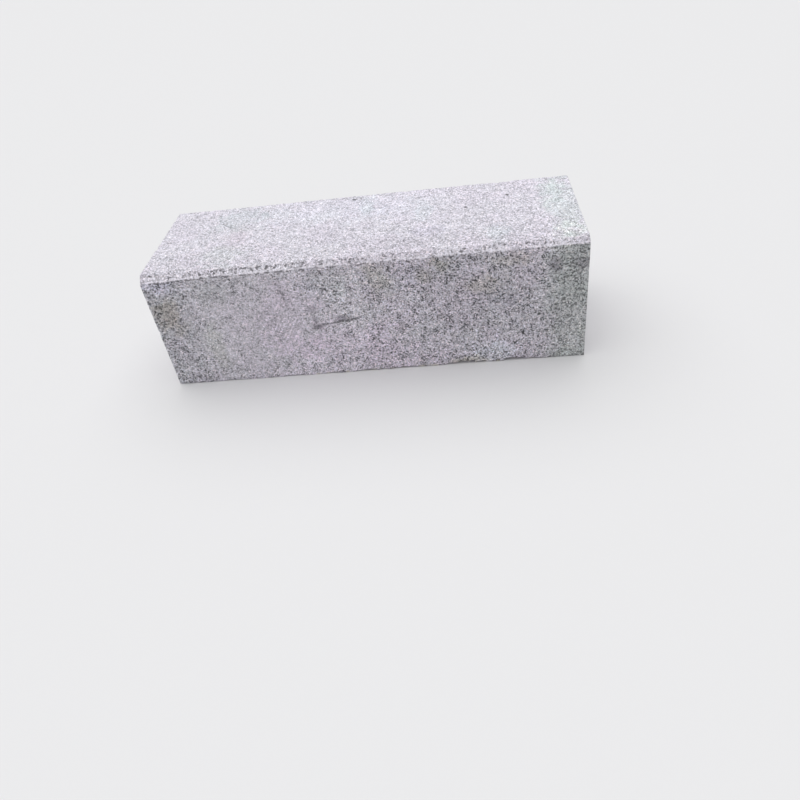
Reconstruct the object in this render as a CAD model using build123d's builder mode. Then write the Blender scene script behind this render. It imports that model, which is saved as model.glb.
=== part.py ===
from build123d import *
import os

# Granite kerb stone: one sawn block with a bevelled arris along its top front edge.
# +X runs along the stone, -Y is the face that looks at the road, and +Z is up.
# The origin lies in the middle of the underside, on the ground. All sizes are in millimetres.

# Driving dimensions
length = 590.0  # end to end, along the line of the kerb
width = 200.0  # road face to back face
height = 180.0  # underside to top
bevel_depth = 8.0  # how far the bevel reaches back over the top
bevel_drop = 8.0  # how far the bevel reaches down the road face
arris_radius = 1.5  # the slight rounding that handling leaves on the other arrises

# Lines of the cross-section
road_face = -width / 2
back_face = width / 2
underside = 0.0
top_face = underside + height
bevel_on_top = (road_face + bevel_depth, top_face)
bevel_on_road_face = (road_face, top_face - bevel_drop)


# Kerb stone: the cross-section, run from one end to the other
with BuildPart() as kerb_stone:
    with BuildSketch(Plane.YZ.offset(-length / 2)) as cross_section:
        with BuildLine() as outline:
            Polyline(
                (road_face, underside),
                (back_face, underside),
                (back_face, top_face),
                bevel_on_top,
                bevel_on_road_face,
                close=True,
            )
        make_face()
    extrude(amount=length)

    # The bevel's two long lines stay crisp, and every other arris is slightly rounded
    long_edges = kerb_stone.edges().filter_by(Axis.X)
    bevel_lines = ShapeList(
        long_edges.sort_by_distance((0, across, up))[0]
        for across, up in (bevel_on_top, bevel_on_road_face)
    )
    fillet(kerb_stone.edges() - bevel_lines, radius=arris_radius)

kerb_stone.part.label = "kerb_stone"

os.makedirs("parts", exist_ok=True)
export_step(kerb_stone.part, "parts/kerb_stone.step")

litres = kerb_stone.part.volume / 1e6
print(f"kerb_stone: {litres:.2f} litres")
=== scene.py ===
import math

import bpy
import numpy as np
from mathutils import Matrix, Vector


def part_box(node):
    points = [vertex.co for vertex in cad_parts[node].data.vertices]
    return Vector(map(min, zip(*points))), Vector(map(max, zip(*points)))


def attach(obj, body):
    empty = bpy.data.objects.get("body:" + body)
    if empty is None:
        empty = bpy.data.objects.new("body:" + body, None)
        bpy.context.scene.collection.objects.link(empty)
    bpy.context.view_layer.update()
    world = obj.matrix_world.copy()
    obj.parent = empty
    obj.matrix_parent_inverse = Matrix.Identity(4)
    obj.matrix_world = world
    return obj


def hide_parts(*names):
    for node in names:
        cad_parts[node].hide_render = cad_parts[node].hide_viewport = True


# Granite kerb stone: a sawn block with a rough bevel along the top front arris.
# Sizes and places on the stone are in millimetres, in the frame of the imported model:
# +X along the stone, -Y out of the road face, +Z up, the origin in the middle of the underside.

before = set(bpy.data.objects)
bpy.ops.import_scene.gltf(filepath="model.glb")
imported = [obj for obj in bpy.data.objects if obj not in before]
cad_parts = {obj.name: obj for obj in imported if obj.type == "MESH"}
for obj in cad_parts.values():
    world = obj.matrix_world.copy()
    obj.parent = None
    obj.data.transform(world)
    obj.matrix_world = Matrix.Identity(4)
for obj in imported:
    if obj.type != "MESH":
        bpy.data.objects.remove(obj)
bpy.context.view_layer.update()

MM = 0.001
stone_low, stone_high = (np.array(corner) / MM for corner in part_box("kerb_stone"))
left_end, road_face, underside = stone_low
right_end, back_face, top_face = stone_high
length, width, height = stone_high - stone_low
bevel = 8.0
bevel_foot = top_face - bevel  # the bevel's lower edge, on the road face
bevel_head = road_face + bevel  # the bevel's upper edge, on the top

# The bevel is cut deeper at the left end: how much, and where the cut begins and is full
deeper_cut = 1.8
deeper_from, deeper_full = left_end + 90.0, left_end + 20.0

# The smoother part of the road face: middle and half sizes along X and Z
smooth_middle = (-148.0, 88.0)
smooth_reach = (126.0, 126.0)

# The grid over the uncarved block, and how many triangles of it are kept
cell = 1.25
flat_cells = round(width / cell)
bevel_cells = round(bevel * math.sqrt(2) / cell)
road_cells = round((height - bevel) / cell)
side_cells = bevel_cells + road_cells
length_cells = round(length / cell)
ring_size = 2 * (flat_cells + side_cells)
triangles_kept = 190_000

# The carving of each point runs towards a core box, which lies this far inside the faces
core_margin = 14.0
face_reach = 6.0  # a face's finish acts this far below the face
arris_reach = 8.0  # the wear of an arris acts this far from it
least_facing = 0.2  # a cut that the carving meets more edge-on than this is left out


# Seeded noise on numpy arrays

seed_factor = 2654435761
axis_factors = (73856093, 19349663, 83492791)
mixing_steps = ((15, 2246822519), (13, 3266489917))
low_bits = np.uint64(0xFFFFFFFF)


def lattice_random(cells, seed):
    """One fixed random number from 0 to 1 for each row of whole numbers."""
    h = np.full(cells.shape[:-1], seed * seed_factor % 2**32, dtype=np.uint64)
    for axis in range(cells.shape[-1]):
        whole = cells[..., axis].astype(np.int64).astype(np.uint64)
        h = (h ^ (whole * np.uint64(axis_factors[axis]))) & low_bits
        for shift, factor in mixing_steps:
            h = ((h ^ (h >> np.uint64(shift))) * np.uint64(factor)) & low_bits
    return (h ^ (h >> np.uint64(16))).astype(float) / 2**32


def smooth_step(t):
    """Eases from 0 to 1 as t goes from 0 to 1."""
    return t * t * (3 - 2 * t)


def ease(values, start, end):
    """0 at start and 1 at end, with a smooth step between them."""
    return smooth_step(np.clip((values - start) / (end - start), 0, 1))


def noise(points, pitch, seed):
    """Smooth noise from -1 to 1 that changes over about one pitch."""
    scaled = points / pitch
    base = np.floor(scaled)
    near_share = smooth_step(scaled - base)
    total = np.zeros(len(points))
    for corner in np.ndindex(*(2,) * points.shape[1]):
        weight = np.prod(np.where(corner, near_share, 1 - near_share), axis=1)
        total += weight * lattice_random(base + corner, seed)
    return 2 * total - 1


def rough_noise(points, pitch, seed, octaves=3, keep=0.55):
    """Noise with finer and finer layers, still about -1 to 1."""
    total, size, reach = np.zeros(len(points)), 1.0, 0.0
    for layer in range(octaves):
        total += size * noise(points, pitch / 2**layer, seed + 31 * layer)
        reach += size
        size *= keep
    return total / reach


def pits(points, pitch, seed, depth_spread=0.6, radius=0.62):
    """Round tool pits on a face, one in each cell: 0 between them, up to 1 in their middle."""
    base = np.floor(points / pitch)
    deepest = np.zeros(len(points))
    for offset in np.ndindex(3, 3):
        cells = base + np.array(offset) - 1
        centre = cells + np.stack([lattice_random(cells, seed + k) for k in (1, 2)], axis=-1)
        strength = 1 - depth_spread * lattice_random(cells, seed + 3)
        away = np.linalg.norm(points / pitch - centre, axis=1) / radius
        deepest = np.maximum(deepest, strength * np.clip(1 - away**2, 0, 1))
    return deepest


# The uncarved block: a grid over its sides, from one end to the other, and a grid over each end

def end_grid():
    """Y and Z of the grid over an end. Rows rise, and columns run from the front to the back."""
    rise = np.linspace(0, 1, road_cells + 1)[:-1]
    slope = np.linspace(0, 1, bevel_cells + 1)
    front_y = np.r_[np.full(road_cells, road_face), road_face + bevel * slope]
    front_z = np.r_[bevel_foot * rise, bevel_foot + bevel * slope]
    back_z = np.linspace(underside, top_face, side_cells + 1)
    across = np.linspace(0, 1, flat_cells + 1)
    end_y = front_y[:, None] * (1 - across) + back_face * across
    end_z = front_z[:, None] * (1 - across) + back_z[:, None] * across
    return end_y, end_z


def rim_order():
    """Where each rim point of the end grid comes on the way round the block, and -1 inside the rim."""
    order = np.full((side_cells + 1, flat_cells + 1), -1)
    flat, side = np.arange(flat_cells), np.arange(side_cells)
    order[0, flat] = flat
    order[side, flat_cells] = flat_cells + side
    order[side_cells, flat_cells - flat] = flat_cells + side_cells + flat
    order[side_cells - side, 0] = 2 * flat_cells + side_cells + side
    return order


def side_points(ring, end_y, end_z):
    """The rim's points, repeated at every station along the stone."""
    stations = np.linspace(left_end, right_end, length_cells + 1)
    rows, columns = np.nonzero(ring >= 0)
    order = np.argsort(ring[rows, columns])
    ring_y, ring_z = end_y[rows, columns][order], end_z[rows, columns][order]
    return np.stack([
        np.repeat(stations, ring_size),
        np.tile(ring_y, len(stations)),
        np.tile(ring_z, len(stations)),
    ], axis=1)


def side_quads():
    """Quads from every station to the next, all the way round the block."""
    station, here = np.meshgrid(np.arange(length_cells), np.arange(ring_size), indexing="ij")
    row, beyond = station * ring_size, (here + 1) % ring_size
    corners = [row + here, row + beyond, row + ring_size + beyond, row + ring_size + here]
    return np.stack(corners, axis=-1).reshape(-1, 4)


def block_grid():
    """Points and quads of the bevelled block, with every edge of the block on a grid line."""
    end_y, end_z = end_grid()
    ring = rim_order()
    points = [side_points(ring, end_y, end_z)]
    quads = [side_quads()]
    inner = ring < 0
    for end_x, first in ((left_end, 0), (right_end, length_cells * ring_size)):
        index = ring + first
        index[inner] = sum(len(part) for part in points) + np.arange(inner.sum())
        points.append(np.stack([np.full(inner.sum(), end_x), end_y[inner], end_z[inner]], axis=1))
        corners = [index[:-1, :-1], index[1:, :-1], index[1:, 1:], index[:-1, 1:]]
        if end_x == right_end:
            corners.reverse()
        quads.append(np.stack(corners, axis=-1).reshape(-1, 4))
    return np.concatenate(points), np.concatenate(quads)


# Finish of each face, as a depth below the plane of the block

def waviness(p, seed, depth):
    """The slow rise and fall that sawing leaves over a face."""
    return depth * (0.5 + 0.5 * noise(p, pitch=170.0, seed=seed))


def roughness(p, pitch, seed, depth):
    """Bumps and hollows of about one pitch, from 0 to twice the depth."""
    return depth * (1 + rough_noise(p, pitch, seed))


def top_finish(p):
    """Bush-hammered: close round pits with a gritty surface between them."""
    wander = np.stack([noise(p, pitch=9.0, seed=11), noise(p, pitch=9.0, seed=12)], axis=1)
    plan = p[:, :2] + 1.2 * wander
    tool = 0.40 * pits(plan, pitch=5.6, seed=21) + 0.35 * pits(plan, pitch=3.4, seed=25)
    grit = roughness(p, pitch=4.0, seed=14, depth=0.28)
    return waviness(p, seed=15, depth=0.6) + 0.8 * tool + grit


def bevel_finish(p):
    """Dressed by hand: lumpy and coarse, and cut deeper at the left end."""
    lumps = roughness(p, pitch=9.0, seed=31, depth=0.7)
    grit = roughness(p, pitch=3.6, seed=32, depth=0.35)
    return lumps + grit + deeper_cut * ease(p[:, 0], deeper_from, deeper_full)


def sawn_finish(p, seed):
    """Sawn: flat, with a fine open grain."""
    return waviness(p, seed, depth=0.5) + roughness(p, pitch=3.4, seed=seed + 1, depth=0.16)


def road_finish(p):
    """Sawn, smoother in one part and more open towards both ends."""
    (middle_x, middle_z), (reach_x, reach_z) = smooth_middle, smooth_reach
    away = np.hypot((p[:, 0] - middle_x) / reach_x, (p[:, 2] - middle_z) / reach_z)
    open_grain = 0.10 + 0.16 * ease(away, 0.5, 1.1)
    return waviness(p, seed=41, depth=0.7) + roughness(p, pitch=3.6, seed=42, depth=open_grain)


# Faces of the block: outward normal, distance of the plane from the origin, and finish
faces = (
    (np.array([0.0, 0.0, 1.0]), top_face, top_finish),
    (np.array([0.0, 0.0, -1.0]), -underside, lambda p: sawn_finish(p, seed=51)),
    (np.array([0.0, -1.0, 0.0]), -road_face, road_finish),
    (np.array([0.0, 1.0, 0.0]), back_face, lambda p: sawn_finish(p, seed=61)),
    (np.array([-1.0, 0.0, 0.0]), -left_end, lambda p: sawn_finish(p, seed=71)),
    (np.array([1.0, 0.0, 0.0]), right_end, lambda p: sawn_finish(p, seed=81)),
    (
        np.array([0.0, -1.0, 1.0]) / math.sqrt(2),
        (top_face - road_face - bevel) / math.sqrt(2),
        bevel_finish,
    ),
)


# Wear and chips of the arrises. For the long ones: Y, Z, wear and share of chips
long_arrises = (
    (road_face, underside, 0.7, 1.5),
    (back_face, underside, 0.8, 1.0),
    (back_face, top_face, 0.8, 1.0),
    (road_face, bevel_foot, 0.32, 1.3),
    (bevel_head, top_face, 0.4, 1.6),
)
cross_wear, cross_chips = 0.7, 0.6
upright_wear, upright_chips = 0.6, 0.5

# Chips: how far apart they are where their share is 1, and their usual and largest size
chip_spacing = 9.0
chip_size, largest_chip = 1.2, 3.2

# Larger broken places on the lower front arris: middle along X, half length, and height up the face
broken_places = (
    (-205.0, 9.0, 1.8),
    (-120.0, 14.0, 1.8),
    (-62.0, 10.0, 2.0),
    (-12.0, 16.0, 2.4),
    (36.0, 24.0, 2.8),
    (112.0, 12.0, 3.4),
    (125.0, 9.0, 4.6),
    (140.0, 4.0, 5.6),
    (152.0, 9.0, 3.2),
    (193.0, 10.0, 4.8),
    (206.0, 13.0, 4.4),
    (222.0, 8.0, 3.0),
)
scoops_per_place = 4

# Single pits on the top: middle along X and Y, and radius
top_pits = (
    (144.0, 25.0, 2.6),
    (-19.0, 87.0, 3.0),
    (204.0, 52.0, 2.2),
    (-60.0, -38.0, 2.0),
    (-176.0, -66.0, 2.0),
    (60.0, -60.0, 1.8),
)
top_pit_depth = 1.6

# Where pits crowd along the bevel's upper edge, and how many there are
pitted_from, pitted_to, pit_count = -218.0, -50.0, 34

# The worn corner at the top right front: a slanting flat, with its direction and reach
worn_corner = (right_end, bevel_head, top_face)
worn_corner_out = (1.0, -0.13, 0.5)
worn_corner_reach = 3.0
worn_corner_from = right_end - 20.0


def arris_lines():
    """The start, end, outward direction, wear and share of chips of each arris."""
    lines = []
    for y, z, wear, chips in long_arrises:
        out = (0, -1 if y < 0 else 1, -1 if z == underside else 1)
        lines.append(((left_end, y, z), (right_end, y, z), out, wear, chips))
    for x in (left_end, right_end):
        side = -1 if x < 0 else 1
        for z in (underside, top_face):
            out = (side, 0, -1 if z == underside else 1)
            lines.append(((x, road_face, z), (x, back_face, z), out, cross_wear, cross_chips))
        for y in (road_face, back_face):
            out = (side, -1 if y < 0 else 1, 0)
            lines.append(((x, y, underside), (x, y, top_face), out, upright_wear, upright_chips))
    return lines


def wear_depth(points, inward, start, out, wear, seed):
    """How far the worn flat along an arris cuts in, measured along the inward direction."""
    out = np.array(out, float) / np.linalg.norm(out)
    slow, quick = noise(points, pitch=26.0, seed=seed), noise(points, pitch=7.0, seed=seed + 1)
    worn = wear * (0.9 + 0.6 * slow + 0.5 * quick)
    over = (points - np.array(start)) @ out + np.clip(worn, 0.1, None)
    towards = -(inward @ out)
    return np.where(towards > least_facing, over / np.maximum(towards, least_facing), 0)


def scoop_depth(points, inward, centre, radii, seed):
    """How far a hollow cuts in. It is an ellipsoid with an uneven edge."""
    uneven = 1 + 0.22 * noise(points, pitch=3.0, seed=seed)
    w = (points - centre) / radii / uneven[:, None]
    v = inward / radii / uneven[:, None]
    wv, vv, ww = (w * v).sum(1), (v * v).sum(1), (w * w).sum(1)
    root = np.sqrt(np.maximum(wv**2 - vv * (ww - 1), 0))
    return np.where(ww < 1, (-wv + root) / vv, 0)


def chips_along(line, rng):
    """Random chips along one arris, each as a centre and radii: many small ones and a few larger."""
    start, end, out, _, amount = line
    start, end = np.array(start), np.array(end)
    out = np.array(out, float) / np.linalg.norm(out)
    reach = np.linalg.norm(end - start)
    along = np.abs(end - start) / reach
    found = []
    for _ in range(int(reach / chip_spacing * amount)):
        size = min(chip_size * rng.lognormal(0.0, 0.45), largest_chip)
        spread = size * rng.uniform(1.2, 2.6)
        place = start + (end - start) * rng.uniform(0, 1)
        centre = place + out * size * rng.uniform(0.2, 0.6)
        radii = size * (1 - along) * rng.uniform(1.0, 1.4) + spread * along
        found.append((centre, np.maximum(radii, 0.8)))
    return found


def broken_scoops(rng):
    """The larger broken places, each as a few scoops that overlap."""
    found = []
    for middle, half, rise in broken_places:
        for _ in range(scoops_per_place):
            x = middle + half * rng.uniform(-0.55, 0.55)
            radii = [
                half * rng.uniform(0.4, 0.9),
                rise * rng.uniform(1.0, 1.4),
                rise * rng.uniform(0.75, 1.05),
            ]
            found.append((np.array([x, road_face, underside]), np.array(radii)))
    return found


def bevel_pits(rng):
    """Deep pits that the chisel left along the bevel's upper edge."""
    found = []
    for _ in range(pit_count):
        size = rng.uniform(1.1, 2.4)
        across = rng.uniform(-1.5, 3.0)
        x = rng.uniform(pitted_from, pitted_to)
        centre = np.array([x, bevel_head - across, top_face - across + size * 0.1])
        found.append((centre, size * np.array([rng.uniform(0.9, 1.8), 1.0, 1.0])))
    return found


def all_scoops():
    """Every hollow in the stone, as a centre and radii."""
    rng = np.random.default_rng(7)
    scoops = broken_scoops(rng) + bevel_pits(rng)
    for x, y, radius in top_pits:
        scoops.append((np.array([x, y, top_face]), np.array([radius, radius, top_pit_depth])))
    for line in arris_lines():
        scoops += chips_along(line, rng)
    return scoops


# Carving: each step cuts every point to the depth that is given or deeper, and returns the new depth

def cut_faces(points, inward, depth):
    """Gives each face its finish."""
    for normal, offset, finish in faces:
        near = np.nonzero(points @ normal - offset > -face_reach)[0]
        p = points[near]
        towards = -(inward[near] @ normal)
        cut = (p @ normal - offset + finish(p)) / np.maximum(towards, least_facing)
        depth[near] = np.maximum(depth[near], np.where(towards > least_facing, cut, 0))
    return depth


def wear_arrises(points, inward, depth):
    """Wears down the corner at the top right front, and every arris."""
    worn = wear_depth(points, inward, worn_corner, worn_corner_out, worn_corner_reach, 90)
    depth = np.maximum(depth, np.where(points[:, 0] > worn_corner_from, worn, 0))
    for number, (start, end, out, wear, _) in enumerate(arris_lines()):
        start, end = np.array(start), np.array(end)
        across = np.abs(end - start) == 0
        near = np.nonzero((np.abs(points - start)[:, across] < arris_reach).all(axis=1))[0]
        worn = wear_depth(points[near], inward[near], start, out, wear, 100 + 2 * number)
        depth[near] = np.maximum(depth[near], worn)
    return depth


def cut_scoops(points, inward, depth):
    """Cuts every hollow."""
    for number, (centre, radii) in enumerate(all_scoops()):
        reach = radii * 1.3
        beside = np.nonzero(np.abs(points[:, 0] - centre[0]) < reach[0])[0]
        touched = beside[(np.abs(points[beside] - centre) < reach).all(axis=1)]
        scoop = scoop_depth(points[touched], inward[touched], centre, radii, 200 + number)
        depth[touched] = np.maximum(depth[touched], scoop)
    return depth


def carve(points):
    """Moves every point of the block inwards to the finished surface."""
    core_low, core_high = stone_low + core_margin, stone_high - core_margin
    inward = np.clip(points, core_low, core_high) - points
    inward /= np.linalg.norm(inward, axis=1)[:, None]
    depth = np.zeros(len(points))
    for cut in (cut_faces, wear_arrises, cut_scoops):
        depth = cut(points, inward, depth)
    return points + inward * depth[:, None]


def quad_mesh(name, points, quads):
    """A mesh from points in millimetres and quads."""
    mesh = bpy.data.meshes.new(name)
    mesh.vertices.add(len(points))
    mesh.vertices.foreach_set("co", (points * MM).ravel())
    mesh.loops.add(quads.size)
    mesh.loops.foreach_set("vertex_index", quads.ravel())
    mesh.polygons.add(len(quads))
    mesh.polygons.foreach_set("loop_start", np.arange(0, quads.size, 4))
    mesh.update(calc_edges=True)
    return mesh


def placed(name, data):
    """A new object that is linked to the scene."""
    made = bpy.data.objects.new(name, data)
    bpy.context.scene.collection.objects.link(made)
    return made


def make_stone():
    """The carved stone as one closed mesh, thinned to the number of triangles that is kept."""
    points, quads = block_grid()
    mesh = quad_mesh("carved_block", carve(points), quads)
    carved = placed("carved_block", mesh)
    thin = carved.modifiers.new("thin", "DECIMATE")
    thin.ratio = triangles_kept / (2 * len(quads))
    depsgraph = bpy.context.evaluated_depsgraph_get()
    thinned = bpy.data.meshes.new_from_object(carved.evaluated_get(depsgraph))
    thinned.name = "kerb_stone_dressed"
    thinned.polygons.foreach_set("use_smooth", [True] * len(thinned.polygons))
    bpy.data.objects.remove(carved)
    bpy.data.meshes.remove(mesh)
    return placed("kerb_stone_dressed", thinned)


# Materials

# How far below its plane each face's colour reaches: at most, and fully
road_colour_depth = (2.5, 1.8)
top_colour_depth = (3.2, 2.2)

# Parts of the stone along X. Each begins at its first place and is full from its second. A part
# with a middle begins at its first distance from there and is full within its second.
left_part = (-225, -255)  # darker left end of the road face
middle_right_part = (20, 100)  # darker right half of the road face
right_part = (222, 272)  # darkest right end of the road face
foot_rises = (-275, -200)  # the bevel's foot rises from its lowest to its usual height
mottled_part = (-20, -70)  # the bevel is mottled
pit_shade_left, pit_shade_right = (-240, -205), (-30, -70)  # painted shade of the chisel's pits lies on the bevel between these
lip_shadow_part = (-40, -90)  # the painted shadow under the bevel is strong
dull_middle, dull_reach = 25, (95, 60)  # the bevel is duller
fresh_middle, fresh_reach = 60, (190, 120)  # the lower arris is freshly broken


class Shader:
    """A material whose nodes are added by short calls. Pitches are in millimetres."""

    def __init__(self, name):
        self.material = bpy.data.materials.new(name)
        self.material.use_nodes = True
        self.nodes = self.material.node_tree.nodes
        self.links = self.material.node_tree.links
        self.surface = self.nodes["Principled BSDF"]

    def put(self, value, socket):
        """Feeds a socket from another one, or sets it to a plain value."""
        if isinstance(value, bpy.types.NodeSocket):
            self.links.new(value, socket)
        else:
            socket.default_value = value

    def make(self, kind, inputs, **settings):
        node = self.nodes.new("ShaderNode" + kind)
        for name, value in settings.items():
            setattr(node, name, value)
        for name, value in inputs.items():
            self.put(value, node.inputs[name])
        return node

    def math(self, operation, *values):
        return self.make("Math", dict(enumerate(values)), operation=operation).outputs[0]

    def product(self, first, *others):
        for other in others:
            first = self.math("MULTIPLY", first, other)
        return first

    def vector(self, operation, *values, output="Vector"):
        node = self.make("VectorMath", dict(enumerate(values)), operation=operation)
        return node.outputs[output]

    def scaled(self, vector, factor):
        return self.make("VectorMath", {0: vector, "Scale": factor}, operation="SCALE").outputs[0]

    def noise(self, place, pitch, detail=2.0, output="Fac"):
        inputs = {"Vector": place, "Scale": 1 / pitch, "Detail": detail}
        return self.make("TexNoise", inputs).outputs[output]

    def cells(self, place, pitch):
        """Three random numbers for each cell of an irregular packing."""
        colour = self.make("TexVoronoi", {"Vector": place, "Scale": 1 / pitch}).outputs["Color"]
        return self.make("SeparateColor", {0: colour}).outputs

    def between(self, value, low, high, start=0.0, end=1.0):
        """Eases from start to end as the value goes from low to high."""
        inputs = {"Value": value, "From Min": low, "From Max": high, "To Min": start, "To Max": end}
        return self.make("MapRange", inputs, interpolation_type="SMOOTHSTEP").outputs[0]

    def close_to(self, value, middle, far, near):
        """1 where the value is within near of the middle, easing to 0 at far."""
        off = self.math("ABSOLUTE", self.math("SUBTRACT", value, middle))
        return self.between(off, far, near)

    def ramp(self, value, stops):
        node = self.make("ValToRGB", {"Fac": value})
        bar = node.color_ramp
        while len(bar.elements) < len(stops):
            bar.elements.new(0.5)
        for element, (position, colour) in zip(bar.elements, stops):
            element.position = position
            element.color = (*colour, 1)
        return node.outputs["Color"]

    def mix(self, share, a, b, blend="MIX"):
        node = self.make("Mix", {"Factor": share}, data_type="RGBA", blend_type=blend)
        for value, socket in ((a, node.inputs[6]), (b, node.inputs[7])):
            self.put((*value, 1) if isinstance(value, tuple) else value, socket)
        return node.outputs[2]

    def tint(self, share, colour, factor):
        """Multiplies a colour by a factor, in a share."""
        return self.mix(share, colour, factor, "MULTIPLY")


class StoneShader(Shader):
    """A shader with the place on the stone, the masks of its faces and the distances past the bevel."""

    def __init__(self, name):
        super().__init__(name)
        self.place = self.scaled(self.make("TexCoord", {}).outputs["Object"], 1 / MM)
        self.x, self.y, self.z = self.make("SeparateXYZ", {0: self.place}).outputs
        self.uneven = self.between(self.noise(self.place, 13.0, detail=4.0), 0.2, 0.8, -0.4, 0.4)
        self.wobble = self.between(self.noise(self.place, 5.0, detail=3.0), 0.2, 0.8, -1.6, 1.6)
        self.on_road = self.between(self.y, *(road_face + depth for depth in road_colour_depth))
        self.on_top = self.between(self.z, *(top_face - depth for depth in top_colour_depth))
        self.find_bevel()
        self.find_road_parts()

    def find_bevel(self):
        """The bevel lies past its foot and past its head. Both are ragged, and the foot drops at the left."""
        foot = self.between(self.x, *foot_rises, bevel_foot - deeper_cut, bevel_foot)
        ragged_foot = self.math("MULTIPLY_ADD", self.wobble, 0.5, foot)
        ragged_head = self.math("MULTIPLY_ADD", self.wobble, 0.8, bevel_head)
        self.past_foot = self.math("SUBTRACT", self.z, ragged_foot)
        self.past_head = self.math("SUBTRACT", ragged_head, self.y)
        past_both = (self.between(self.past_foot, -0.3, 0.5), self.between(self.past_head, -0.6, 0.6))
        self.on_bevel = self.product(*past_both)

    def find_road_parts(self):
        """Parts of the road face: one is smoother, and the others are coarser and darker."""
        self.smooth = self.road_patch(smooth_middle, smooth_reach)
        x_uneven = self.math("MULTIPLY_ADD", self.uneven, 22.0, self.x)
        self.left = self.product(self.between(x_uneven, *left_part), self.on_road)
        self.middle_right = self.product(self.between(x_uneven, *middle_right_part), self.on_road)
        self.right = self.product(self.between(x_uneven, *right_part), self.on_road)
        self.ends = self.math("MAXIMUM", self.left, self.right)

    def patch(self, middle, half_sizes):
        """A soft oval patch with an uneven edge: 1 in its middle, 0 outside."""
        away = self.vector("SUBTRACT", self.place, middle)
        away = self.vector("DIVIDE", away, half_sizes)
        away = self.vector("LENGTH", away, output="Value")
        return self.between(self.math("ADD", away, self.uneven), 0.35, 1.1, 1.0, 0.0)

    def road_patch(self, middle, half_sizes):
        """A patch on the road face, with its middle and half sizes along X and Z."""
        (x, z), (half_x, half_z) = middle, half_sizes
        return self.patch((x, road_face, z), (half_x, stain_depth, half_z))

    def top_patch(self, middle, half_sizes):
        """A patch on the top, with its middle and half sizes along X and Y."""
        return self.patch((*middle, top_face), (*half_sizes, stain_depth))

    def scattered(self, pitch, channel, share):
        """1 in a random share of the cells of an irregular packing, and 0 in the others."""
        return self.math("LESS_THAN", self.cells(self.place, pitch)[channel], share)


def grey(level, tint=(1.02, 0.985, 1.085)):
    """A level of grey, with the slight violet of this granite."""
    return tuple(level * t for t in tint)


def even(level):
    """The same factor for all three colours."""
    return (level, level, level)


# Stains and tints: middle, half sizes, the colour that multiplies the stone's own, and strength
brown = (0.88, 0.83, 0.70)
olive = (0.84, 0.84, 0.75)
green = (0.90, 0.97, 0.91)
blue_green = (0.93, 1.00, 0.99)
soot = (0.62, 0.60, 0.63)
rose = (1.06, 0.98, 1.05)
violet = (0.95, 0.94, 1.02)
pale = (1.12, 1.11, 1.12)
stain_depth = 14.0  # how far a patch reaches below its face
road_stains = (
    ((-269, 120), (24, 36), brown, 0.60),
    ((-278, 124), (22, 26), (0.86, 0.86, 0.85), 0.8),
    ((-268, 163), (34, 22), (1.12, 1.12, 1.19), 0.9),
    # Darker patch beside the left strap's place: partly a dark smudge, partly painted shadow of the strap
    ((-205, 150), (26, 26), (0.90, 0.92, 0.90), 0.9),
    ((-218, 62), (16, 44), (0.93, 0.97, 0.88), 0.6),
    ((-40, 150), (42, 26), green, 0.5),
    ((22, 146), (22, 32), olive, 0.65),
    ((58, 146), (22, 28), violet, 0.3),
    ((86, 146), (13, 14), olive, 0.7),
    ((106, 162), (17, 13), olive, 0.85),
    ((160, 127), (34, 17), olive, 0.75),
    ((140, 150), (26, 20), violet, 0.25),
    ((200, 160), (30, 14), (0.96, 0.95, 0.86), 0.6),
    ((170, 20), (32, 22), blue_green, 0.7),
    ((170, 22), (40, 28), (1.22, 1.20, 1.22), 1.0),
    ((95, 34), (50, 34), pale, 0.5),
    ((135, 5), (32, 9), (0.97, 0.97, 0.80), 0.7),
    ((-73, 110), (8, 7), soot, 0.8),
    ((-70, 94), (6, 10), soot, 0.8),
    ((-71, 82), (11, 7), (0.52, 0.50, 0.53), 0.85),
    ((-31, 93), (11, 6), (0.56, 0.54, 0.57), 0.9),
    ((252, 147), (11, 11), soot, 0.8),
    ((285, 146), (11, 11), soot, 0.8),
    ((196, 102), (9, 12), soot, 0.30),
    ((-55, 85), (90, 110), (1.06, 1.06, 1.06), 0.9),
    ((-72, 146), (18, 26), (0.88, 0.89, 0.91), 0.8),
    ((72, 90), (32, 28), (1.09, 1.09, 1.10), 0.9),
    ((276, 30), (24, 46), pale, 0.8),
    ((-20, 36), (110, 56), rose, 0.42),
    ((-110, 90), (60, 90), rose, 0.45),
    ((-35, 132), (20, 18), (1.14, 1.14, 1.15), 0.9),
    ((178, 102), (30, 18), (0.88, 0.89, 0.90), 0.9),
    ((-95, 14), (40, 20), (1.14, 1.14, 1.14), 0.9),
)
top_stains = (
    ((148, 4), (12, 26), soot, 0.14),
    ((-46, -24), (34, 28), soot, 0.10),
    ((50, -62), (90, 30), soot, 0.14),
    ((-60, 56), (130, 52), (1.03, 1.06, 1.06), 0.8),
    ((60, 50), (70, 60), (1.03, 1.04, 1.05), 0.8),
    ((-190, 55), (46, 46), (0.89, 0.95, 0.92), 0.8),
    ((-190, -55), (40, 36), (0.93, 0.99, 0.94), 0.7),
    ((-180, 0), (28, 44), (0.945, 0.92, 0.92), 0.9),
    ((85, 28), (16, 44), (0.97, 1.02, 1.00), 0.8),
    ((184, -62), (18, 28), (0.96, 1.02, 1.00), 0.8),
    ((4, 60), (12, 40), (0.97, 1.02, 1.00), 0.8),
    ((276, 10), (34, 120), (0.965, 1.03, 0.98), 0.9),
    ((276, -70), (26, 34), (1.09, 1.13, 1.07), 0.9),
    ((267, 54), (24, 48), (1.02, 1.07, 1.04), 0.9),
    ((90, -36), (30, 22), (0.92, 0.93, 0.95), 0.9),
)

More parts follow.
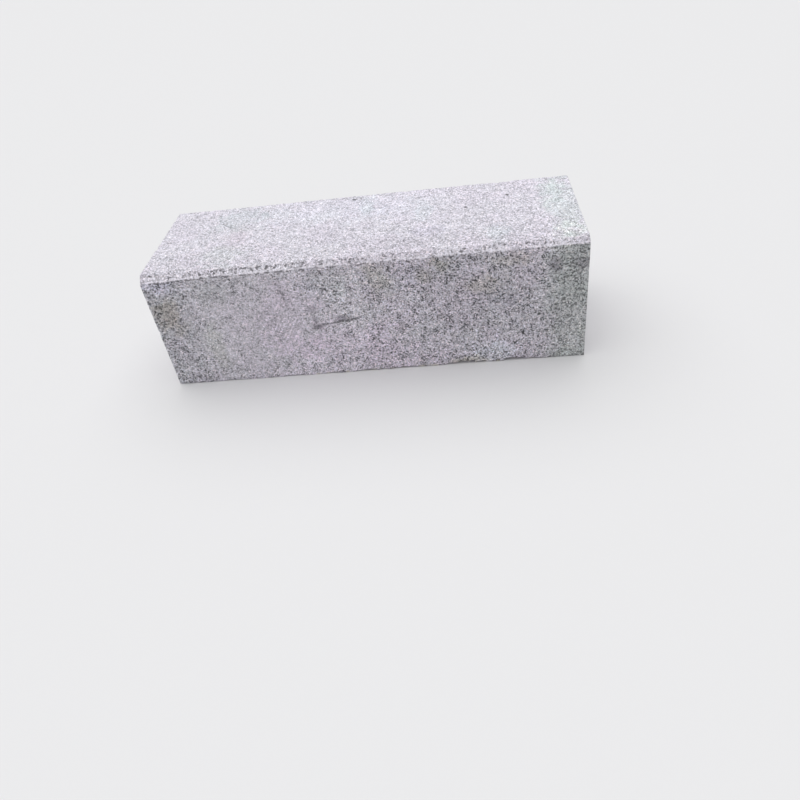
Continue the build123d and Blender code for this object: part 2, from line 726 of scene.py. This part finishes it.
# Dark marks on the road face: both ends in X and Z, half thickness, and strength
scratches = (
    ((-55.0, 85.4), (-8.0, 90.6), 1.0, 0.95),
    ((-46.0, 86.4), (-24.0, 89.2), 2.1, 1.00),
    ((-76.0, 80.6), (-56.0, 85.4), 2.8, 0.60),
    ((15.0, 101.8), (34.0, 100.6), 0.9, 0.50),
    ((148.0, 113.0), (158.0, 112.0), 1.1, 0.75),
    ((161.0, 111.8), (177.0, 113.2), 1.0, 0.90),
)

# Where the saw's marks show: middle and half sizes along X and Z, and how steeply they slant
sawn_middle, sawn_reach = (-128, 84), (44, 40)
saw_slant = math.radians(56)


def darkness(s):
    """How much more mica there is than usual: more in the coarser parts, and gathered in places."""
    darker = s.math("MULTIPLY_ADD", s.ends, 0.025, s.product(s.middle_right, 0.035))
    gathered = s.between(s.noise(s.place, 6.5, detail=1.0), 0.3, 0.7, -0.07, 0.07)
    return s.math("MULTIPLY_ADD", gathered, s.on_road, darker)


def mineral_colour(s, mineral):
    """From dark mica through grey quartz to pale feldspar."""
    return s.ramp(mineral, (
        (0.00, grey(0.07)),
        (0.10, grey(0.12)),
        (0.14, grey(0.36)),
        (0.36, grey(0.44)),
        (0.42, grey(0.62)),
        (0.78, grey(0.71)),
        (0.90, grey(0.84, (1.06, 0.99, 1.04))),
        (1.00, grey(0.95)),
    ))


def speck_factor(s, speck):
    """The smaller grains, which break up the larger ones."""
    return s.ramp(speck, (
        (0.00, even(0.42)),
        (0.10, even(0.52)),
        (0.16, even(0.88)),
        (0.72, even(1.00)),
        (1.00, even(1.24)),
    ))


def hue_factor(s, grain):
    """Slight changes of hue, from grain to grain and over larger blotches."""
    by_grain = s.mix(grain, (0.98, 1.00, 1.03), (1.03, 0.99, 0.98))
    blotch = s.between(s.noise(s.place, 42.0), 0.35, 0.65)
    return s.tint(1.0, by_grain, s.mix(blotch, (0.985, 1.0, 0.99), (1.01, 0.99, 1.01)))


def grains(s):
    """The plain stone's colour, and the random numbers of its coarse and of its fine grains."""
    wander = s.vector("SUBTRACT", s.noise(s.place, 1.5, output="Color"), even(0.5))
    warped = s.vector("ADD", s.place, s.scaled(wander, 1.2))
    coarse = s.cells(warped, 1.6)
    fine = s.cells(warped, 0.9)
    clusters = s.between(s.noise(s.place, 16.0, detail=3.0), 0.3, 0.7, -0.08, 0.08)
    mineral = s.math("SUBTRACT", s.math("ADD", coarse[0], clusters), darkness(s))
    speckled = s.tint(1.0, mineral_colour(s, mineral), speck_factor(s, fine[0]))
    stone = s.tint(1.0, speckled, hue_factor(s, coarse[1]))
    clots = s.product(s.scattered(3.1, 2, 0.085), s.ends)
    return s.mix(s.product(clots, 0.68), stone, grey(0.12)), coarse, fine


def stained(s, colour, stains, patch, on_face):
    """Multiplies each stain into the colour, on one face only."""
    for middle, half_sizes, factor, strength in stains:
        share = s.product(patch(middle, half_sizes), strength, on_face)
        colour = s.tint(share, colour, factor)
    return colour


def road_colour(s, stone):
    """The road face: smoother in one part, darker at its ends, paler below as painted light against the
    floor's shade, and stained.
    """
    colour = s.mix(s.product(s.smooth, 0.34), stone, grey(0.63))
    colour = s.mix(s.product(s.right, 0.14), colour, grey(0.55))
    colour = s.tint(s.middle_right, colour, even(0.95))
    colour = s.tint(s.left, colour, (0.90, 0.92, 0.91))
    colour = s.tint(s.right, colour, (0.86, 0.93, 0.85))
    # Paler towards the bottom: painted light that offsets the darker shading near the floor
    low = s.product(s.between(s.z, 100, 15), s.on_road)
    colour = s.tint(low, colour, even(1.08))
    return stained(s, colour, road_stains, s.road_patch, s.on_road)


def saw_marked(s, colour):
    """Adds the faint slanting marks of the saw, and returns where they are."""
    inputs = {"Vector": s.place, "Angle": saw_slant}
    turned = s.make("VectorRotate", inputs, rotation_type="Y_AXIS").outputs[0]
    drawn_out = s.vector("MULTIPLY", turned, (0.09, 0.09, 1.0))
    streak = s.between(s.noise(drawn_out, 2.6, detail=1.0), 0.38, 0.62)
    part = s.product(s.road_patch(sawn_middle, sawn_reach), s.on_road)
    streaks = s.mix(streak, even(0.86), even(1.17))
    return s.tint(part, colour, streaks), s.product(streak, part)


def scratch_mask(s, wobble):
    """Thin dark lines on the road face, fading at their ends."""
    total = None
    for (x0, z0), (x1, z1), half, strength in scratches:
        slope = (z1 - z0) / (x1 - x0)
        line_z = s.math("MULTIPLY_ADD", s.x, slope, z0 - slope * x0)
        off = s.math("ABSOLUTE", s.math("ADD", s.math("SUBTRACT", s.z, line_z), wobble))
        thin = s.between(off, half * 0.4, half * 1.6, strength, 0.0)
        mark = s.product(thin, s.between(s.x, x0 - 4, x0 + 2), s.between(s.x, x1 + 6, x1 - 4))
        total = mark if total is None else s.math("MAXIMUM", total, mark)
    return total


def scratched(s, colour):
    """Adds the scratches, broken up a little, and returns where they are."""
    broken = s.between(s.noise(s.place, 2.8), 0.36, 0.52, 0.35, 1.0)
    scratch = s.product(scratch_mask(s, s.product(s.wobble, 0.9)), s.on_road, broken)
    return s.mix(scratch, colour, grey(0.13)), scratch


def freshly_broken(s, colour):
    """Adds a little yellow where the lower front arris is freshly broken."""
    at_foot = s.product(s.between(s.z, 4.5, 1.0), s.between(s.y, road_face + 8, road_face + 3))
    here_and_there = s.between(s.noise(s.place, 9.0), 0.48, 0.62)
    in_reach = s.close_to(s.x, fresh_middle, *fresh_reach)
    return s.mix(s.product(at_foot, here_and_there, in_reach, 0.55), colour, (0.78, 0.74, 0.56))


def top_colour(s, stone, fine):
    """The hammered top: crushed white, with dark specks that are partly mica and partly painted shade of
    small pits, painted shade in its single pits, and stains.
    """
    crushed = s.between(s.y, road_face + 10, road_face + 95, 0.18, 0.27)
    colour = s.mix(crushed, stone, grey(0.93, (1.0, 0.985, 1.10)))
    powder = s.mix(fine[1], even(0.82), even(1.27))
    colour = s.tint(1.0, colour, powder)
    # Dark specks: partly mica grains, partly painted shade of small tool pits
    speck_and_pit_shade_share = s.between(s.y, road_face + 10, road_face + 110, 0.12, 0.06)
    specks_and_pit_shade = s.scattered(2.0, 2, speck_and_pit_shade_share)
    colour = s.mix(s.product(specks_and_pit_shade, 0.5), colour, grey(0.22))
    # The single pits are painted dark: painted shade inside them
    for pit_x, pit_y, radius in top_pits:
        away = s.vector("DISTANCE", s.place, (pit_x, pit_y, top_face), output="Value")
        away = s.math("MULTIPLY_ADD", s.wobble, 0.5, away)
        top_pit_shade = s.between(away, radius * 1.4, radius * 0.7)
        colour = s.mix(s.product(top_pit_shade, 0.8), colour, grey(0.10))
    return stained(s, colour, top_stains, s.top_patch, 1.0)


def bevel_colour(s, stone):
    """The bevel: paler, mottled at the left, with painted shade of pits near its head, and with a white lip
    at its foot.
    """
    colour = s.mix(0.20, s.tint(1.0, stone, even(1.10)), grey(0.84))
    colour = s.tint(s.close_to(s.x, dull_middle, *dull_reach), colour, even(0.93))
    mottle = s.between(s.noise(s.place, 4.2, detail=2.0), 0.36, 0.60)
    mottled = s.mix(mottle, even(0.74), even(1.19))
    colour = s.tint(s.between(s.x, *mottled_part, 0.2, 1.0), colour, mottled)
    # Dark spots near the bevel's head: painted shade of the chisel's pits
    pit_shade_stretch = s.product(s.between(s.x, *pit_shade_left), s.between(s.x, *pit_shade_right))
    pit_shade_share = s.math("MULTIPLY_ADD", pit_shade_stretch, 0.15, 0.045)
    pit_shade = s.product(s.scattered(3.0, 1, pit_shade_share), s.close_to(s.past_head, 3.0, 5.5, 2.0))
    colour = s.mix(s.product(pit_shade, 0.85), colour, grey(0.12))
    lip = s.product(s.close_to(s.past_foot, 0.9, 1.5, 0.5), s.between(s.noise(s.place, 9.0), 0.42, 0.54))
    return s.mix(s.product(lip, 0.6), colour, grey(0.88))


def lip_shadow(s):
    """Painted shadow: a dark line right under the bevel's lip, broken up, and fainter to the right."""
    line = s.close_to(s.past_foot, -1.0, 1.4, 0.4)
    broken = s.between(s.noise(s.place, 10.0, detail=3.0), 0.43, 0.54)
    return s.product(line, broken, s.on_road, s.between(s.x, *lip_shadow_part, 0.3, 0.9))


def granite():
    """Grey granite, paler where the tool has crushed it, with the stains of the yard."""
    s = StoneShader("granite")
    stone, coarse, fine = grains(s)
    colour, saw = saw_marked(s, road_colour(s, stone))
    colour, scratch = scratched(s, colour)
    colour = freshly_broken(s, colour)
    colour = s.mix(s.on_top, colour, top_colour(s, stone, fine))
    # Painted shadow under the bevel's lip
    colour = s.mix(lip_shadow(s), colour, grey(0.16))
    colour = s.mix(s.on_bevel, colour, bevel_colour(s, stone))
    s.put(colour, s.surface.inputs["Base Color"])
    s.put(s.between(coarse[0], 0.05, 0.5, 0.55, 0.88), s.surface.inputs["Roughness"])
    s.surface.inputs["Specular IOR Level"].default_value = 0.3

    relief = s.math("ADD", s.noise(s.place, 1.1, detail=3.0), s.product(coarse[0], 0.30))
    relief = s.math("MULTIPLY_ADD", scratch, -2.0, relief)
    relief = s.math("MULTIPLY_ADD", saw, -0.4, relief)
    bump = s.make("Bump", {"Height": relief, "Strength": 0.5, "Distance": 0.30 * MM})
    s.put(bump.outputs[0], s.surface.inputs["Normal"])
    return s.material


def floor_material():
    s = Shader("pale_floor")
    s.surface.inputs["Base Color"].default_value = (0.78, 0.78, 0.79, 1)
    s.surface.inputs["Roughness"].default_value = 0.9
    return s.material


# Stage: floor, light and camera, in metres and degrees

floor_half = 6.0
sky_strength = 0.45
lamp_strength, lamp_spread, lamp_turn = 2.0, 90, (-12, -8, 0)

# The photograph's camera, as fitted to the stone's edges. Lens and sensor are in millimetres
camera_place = (0.13670, -0.88000, 0.58837)
camera_turn = (50.252, 6.880, 2.239)
camera_lens, camera_sensor = 30.67, 36.0


def make_floor():
    half = floor_half
    corners = [(-half, -half, 0), (half, -half, 0), (half, half, 0), (-half, half, 0)]
    mesh = bpy.data.meshes.new("floor")
    mesh.from_pydata(corners, [], [(0, 1, 2, 3)])
    mesh.materials.append(floor_material())
    floor = placed("floor", mesh)


def make_sky():
    """An overcast sky's even glow."""
    world = bpy.data.worlds.new("sky")
    world.use_nodes = True
    background = world.node_tree.nodes["Background"]
    background.inputs["Color"].default_value = (1, 1, 1, 1)
    background.inputs["Strength"].default_value = sky_strength
    bpy.context.scene.world = world


def make_lamp():
    """The sky's brighter part: a broad soft light from overhead and a little behind."""
    lamp = bpy.data.lights.new("overhead", "SUN")
    lamp.energy = lamp_strength
    lamp.angle = math.radians(lamp_spread)
    placed("overhead", lamp).rotation_euler = [math.radians(angle) for angle in lamp_turn]


def make_camera():
    """The photograph's view: from the right of the stone's middle, looking down, with a slight roll."""
    camera_data = bpy.data.cameras.new("camera")
    camera_data.sensor_width = camera_sensor
    camera_data.lens = camera_lens
    camera = placed("camera", camera_data)
    camera.location = camera_place
    camera.rotation_euler = [math.radians(angle) for angle in camera_turn]
    bpy.context.scene.camera = camera


stone = make_stone()
stone.data.materials.clear()
stone.data.materials.append(granite())
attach(stone, "root")
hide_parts("kerb_stone")

make_floor()
make_sky()
make_lamp()
make_camera()
bpy.context.scene.view_settings.view_transform = "Standard"
